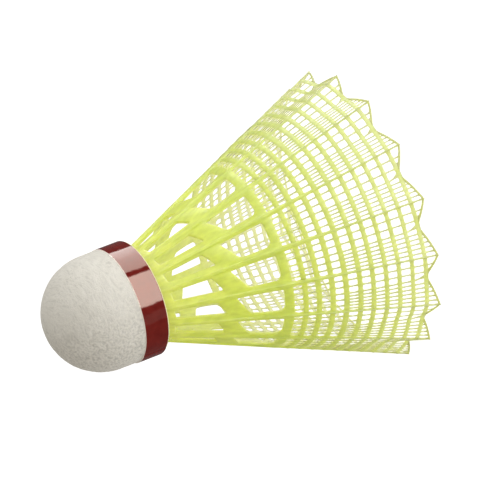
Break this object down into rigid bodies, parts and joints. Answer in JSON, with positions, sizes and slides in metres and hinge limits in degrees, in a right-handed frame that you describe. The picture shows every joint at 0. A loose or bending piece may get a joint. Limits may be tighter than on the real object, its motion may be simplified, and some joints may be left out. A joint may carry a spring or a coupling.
{
  "type": "badminton shuttlecock",
  "caption": "Nylon badminton shuttlecock: leather-covered cork base with a colour band and a flared, open-mesh moulded skirt with a scalloped rim.",
  "frame": {"origin": "centre of the circle of skirt tips, on the plane that the tips stand on", "axes": "+Z along the axis of symmetry, from the open mouth of the skirt to the nose of the cork; one stem lies in the +X half-plane"},
  "size_m": [0.0664, 0.0664, 0.0788],
  "materials": {
    "cork": "pressed cork, matte",
    "leather": "fine-grained white synthetic leather, satin",
    "tape": "glossy dark red tape",
    "glue": "clear adhesive",
    "nylon": "translucent yellow-green nylon, satin"
  },
  "bodies": {
    "root": {"cork_core": "cork", "leather_cover": "leather", "trim_band": "tape", "glue_joint": "glue", "skirt": "nylon"}
  },
  "joints": []
}
